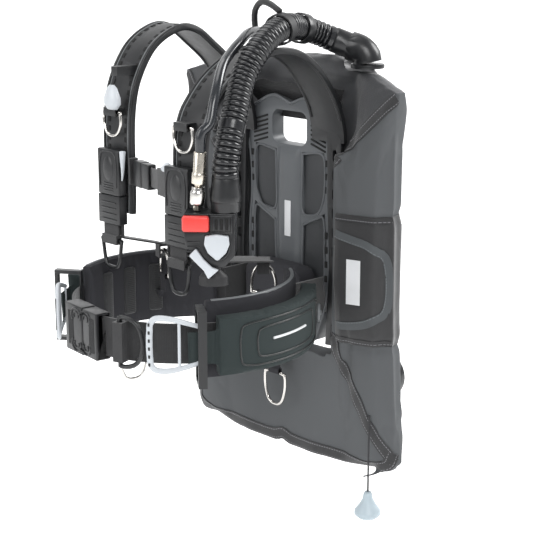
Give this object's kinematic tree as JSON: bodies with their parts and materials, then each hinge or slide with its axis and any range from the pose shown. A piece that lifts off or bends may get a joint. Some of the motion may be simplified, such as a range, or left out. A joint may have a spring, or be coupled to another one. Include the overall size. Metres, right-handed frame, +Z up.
{
  "type": "buoyancy compensator vest",
  "caption": "Back-inflation diving vest: wing-shaped air cell on a moulded backplate, harness, weight pockets and power inflator, with working buckles, rings and valves.",
  "frame": {"origin": "centre of the backplate's rear face, where the tank is strapped on", "axes": "+X to the diver's left, -Y to the diver's front, +Z up"},
  "size_m": [0.414, 0.4423, 0.6875],
  "materials": {
    "nylon": "satin coated nylon",
    "plate_plastic": "satin moulded plastic",
    "rubber": "matte moulded rubber",
    "black_plastic": "satin moulded plastic",
    "webbing": "woven webbing",
    "pocket_rubber": "satin coated rubber",
    "pad_fabric": "mesh and elastic fabric",
    "hose_rubber": "satin rubber",
    "steel": "polished stainless steel",
    "light_plastic": "light grey moulded plastic",
    "red_plastic": "coral red moulded plastic",
    "knob_plastic": "blue-grey moulded plastic"
  },
  "bodies": {
    "vest": {"air_cell": "nylon", "backplate": "plate_plastic", "carry_handle": "rubber", "corrugated_hose": "hose_rubber", "dump_valve_housing": "black_plastic", "feed_coupling": "steel", "feed_fitting": "steel", "feed_hose": "hose_rubber", "harness_left": "rubber", "harness_right": "rubber", "hip_pad_left": "pad_fabric", "hip_pad_right": "pad_fabric", "hose_band": "webbing", "hose_clip": "light_plastic", "inflator_body": "black_plastic", "inflator_neck": "hose_rubber", "lumbar_pad": "pad_fabric", "mouthpiece": "rubber", "pocket_frame_left": "black_plastic", "pocket_frame_right": "black_plastic", "shoulder_buckle_left": "black_plastic", "shoulder_buckle_right": "black_plastic", "shoulder_elbow": "black_plastic", "shoulder_webbing_left": "webbing", "shoulder_webbing_right": "webbing", "sternum_buckle_socket": "black_plastic", "sternum_strap_left": "webbing", "sternum_strap_right": "webbing", "tank_band_lower": "webbing", "tank_band_upper": "webbing", "waist_belt_left": "webbing", "waist_belt_right": "webbing", "waist_buckle_socket": "black_plastic"},
    "inflate_button": {"inflate_button": "red_plastic"},
    "dump_button": {"dump_button": "light_plastic"},
    "shoulder_pull": {"shoulder_pull_knob": "light_plastic", "shoulder_pull_cord": "webbing"},
    "bottom_pull": {"pull_knob": "knob_plastic", "pull_cord": "webbing"},
    "dump_valve_poppet": {"dump_valve_poppet": "knob_plastic"},
    "chest_ring_left": {"chest_ring_left": "steel"},
    "chest_ring_right": {"chest_ring_right": "steel"},
    "pull_ring_left": {"pull_ring_left": "black_plastic"},
    "pull_ring_right": {"pull_ring_right": "black_plastic"},
    "hip_ring_left": {"hip_ring_left": "steel"},
    "hip_ring_right": {"hip_ring_right": "steel"},
    "crotch_ring": {"crotch_ring": "steel"},
    "accessory_ring": {"accessory_ring": "steel"},
    "belt_ring": {"belt_ring": "black_plastic"},
    "weight_pocket_left": {"weight_pocket_left": "pocket_rubber", "pocket_handle_left": "light_plastic"},
    "weight_pocket_right": {"weight_pocket_right": "pocket_rubber", "pocket_handle_right": "light_plastic"},
    "waist_buckle_clip": {"waist_buckle_clip": "black_plastic"},
    "sternum_buckle_clip": {"sternum_buckle_clip": "black_plastic"},
    "shoulder_adjuster_left": {"shoulder_adjuster_left": "black_plastic"},
    "shoulder_adjuster_right": {"shoulder_adjuster_right": "black_plastic"},
    "feed_release_sleeve": {"feed_release_sleeve": "steel"},
    "cam_lever_upper": {"cam_lever_upper": "black_plastic"},
    "cam_lever_lower": {"cam_lever_lower": "black_plastic"}
  },
  "joints": [
    {"name": "inflate_press", "type": "slide", "parent": "vest", "child": "inflate_button", "axis": [-0.682, 0.7314, 0], "range_m": [0, 0.0035], "stiffness_N_per_m": 700},
    {"name": "dump_press", "type": "slide", "parent": "vest", "child": "dump_button", "axis": [-0.682, 0.7314, 0], "range_m": [0, 0.004], "stiffness_N_per_m": 600},
    {"name": "shoulder_pull_draw", "type": "slide", "parent": "vest", "child": "shoulder_pull", "axis": [0, -0.6508, -0.7593], "range_m": [0, 0.012], "stiffness_N_per_m": 500},
    {"name": "bottom_pull_draw", "type": "slide", "parent": "vest", "child": "bottom_pull", "axis": [0, 0, -1], "range_m": [0, 0.015], "stiffness_N_per_m": 400},
    {"name": "dump_valve_lift", "type": "slide", "parent": "vest", "child": "dump_valve_poppet", "axis": [0, 1, 0], "range_m": [0, 0.003]},
    {"name": "chest_ring_left_swing", "type": "hinge", "parent": "vest", "child": "chest_ring_left", "pos_m": [0.074, -0.2755, 0.152], "axis": [1, 0, 0], "range_deg": [-110, 0]},
    {"name": "chest_ring_right_swing", "type": "hinge", "parent": "vest", "child": "chest_ring_right", "pos_m": [-0.091, -0.2536, 0.152], "axis": [1, 0, 0], "range_deg": [-85, 0]},
    {"name": "pull_ring_left_swing", "type": "hinge", "parent": "vest", "child": "pull_ring_left", "pos_m": [0.074, -0.2849, -0.016], "axis": [1, 0, 0], "range_deg": [-100, 0]},
    {"name": "pull_ring_right_swing", "type": "hinge", "parent": "vest", "child": "pull_ring_right", "pos_m": [-0.091, -0.2589, -0.016], "axis": [1, 0, 0], "range_deg": [-100, 0]},
    {"name": "hip_ring_left_swing", "type": "hinge", "parent": "vest", "child": "hip_ring_left", "pos_m": [0.064, -0.132, -0.082], "axis": [0.7314, 0.682, 0], "range_deg": [-6, 6]},
    {"name": "hip_ring_right_swing", "type": "hinge", "parent": "vest", "child": "hip_ring_right", "pos_m": [-0.092, -0.17, -0.081], "axis": [0.9397, -0.342, 0], "range_deg": [-6, 6]},
    {"name": "crotch_ring_swing", "type": "hinge", "parent": "vest", "child": "crotch_ring", "pos_m": [0.005, -0.053, -0.222], "axis": [1, 0, 0], "range_deg": [-100, 8]},
    {"name": "accessory_ring_swing", "type": "hinge", "parent": "vest", "child": "accessory_ring", "pos_m": [-0.13468, -0.19307, -0.187], "axis": [-0.1392, -0.9903, 0], "range_deg": [-60, 60]},
    {"name": "belt_ring_swing", "type": "hinge", "parent": "vest", "child": "belt_ring", "pos_m": [0.04759, -0.35846, -0.105], "axis": [0, 0, 1], "range_deg": [-90, 0]},
    {"name": "weight_pocket_left_draw", "type": "hinge", "parent": "vest", "child": "weight_pocket_left", "pos_m": [0, -0.212, -0.105], "axis": [0, 0, 1], "range_deg": [-12, 0]},
    {"name": "weight_pocket_right_draw", "type": "hinge", "parent": "vest", "child": "weight_pocket_right", "pos_m": [0, -0.212, -0.105], "axis": [0, 0, 1], "range_deg": [0, 27]},
    {"name": "waist_buckle_release", "type": "hinge", "parent": "vest", "child": "waist_buckle_clip", "pos_m": [0, -0.212, -0.105], "axis": [0, 0, 1], "range_deg": [0, 7]},
    {"name": "sternum_buckle_release", "type": "slide", "parent": "vest", "child": "sternum_buckle_clip", "axis": [0.9733, -0.2296, 0], "range_m": [0, 0.0115]},
    {"name": "shoulder_release_left", "type": "slide", "parent": "vest", "child": "shoulder_adjuster_left", "axis": [0, 0, -1], "range_m": [0, 0.013]},
    {"name": "shoulder_release_right", "type": "slide", "parent": "vest", "child": "shoulder_adjuster_right", "axis": [0, 0, -1], "range_m": [0, 0.013]},
    {"name": "feed_release", "type": "slide", "parent": "vest", "child": "feed_release_sleeve", "axis": [0.1047, 0, 0.9945], "range_m": [0, 0.0035], "stiffness_N_per_m": 600},
    {"name": "cam_lever_upper_open", "type": "hinge", "parent": "vest", "child": "cam_lever_upper", "pos_m": [0.024, 0.0675, 0.052], "axis": [0, 0, 1], "range_deg": [-150, 0]},
    {"name": "cam_lever_lower_open", "type": "hinge", "parent": "vest", "child": "cam_lever_lower", "pos_m": [0.024, 0.0675, -0.028], "axis": [0, 0, 1], "range_deg": [-150, 0]}
  ],
  "couplings": [
    {"joint": "dump_valve_lift", "follows": "bottom_pull_draw", "ratio": 0.2}
  ]
}
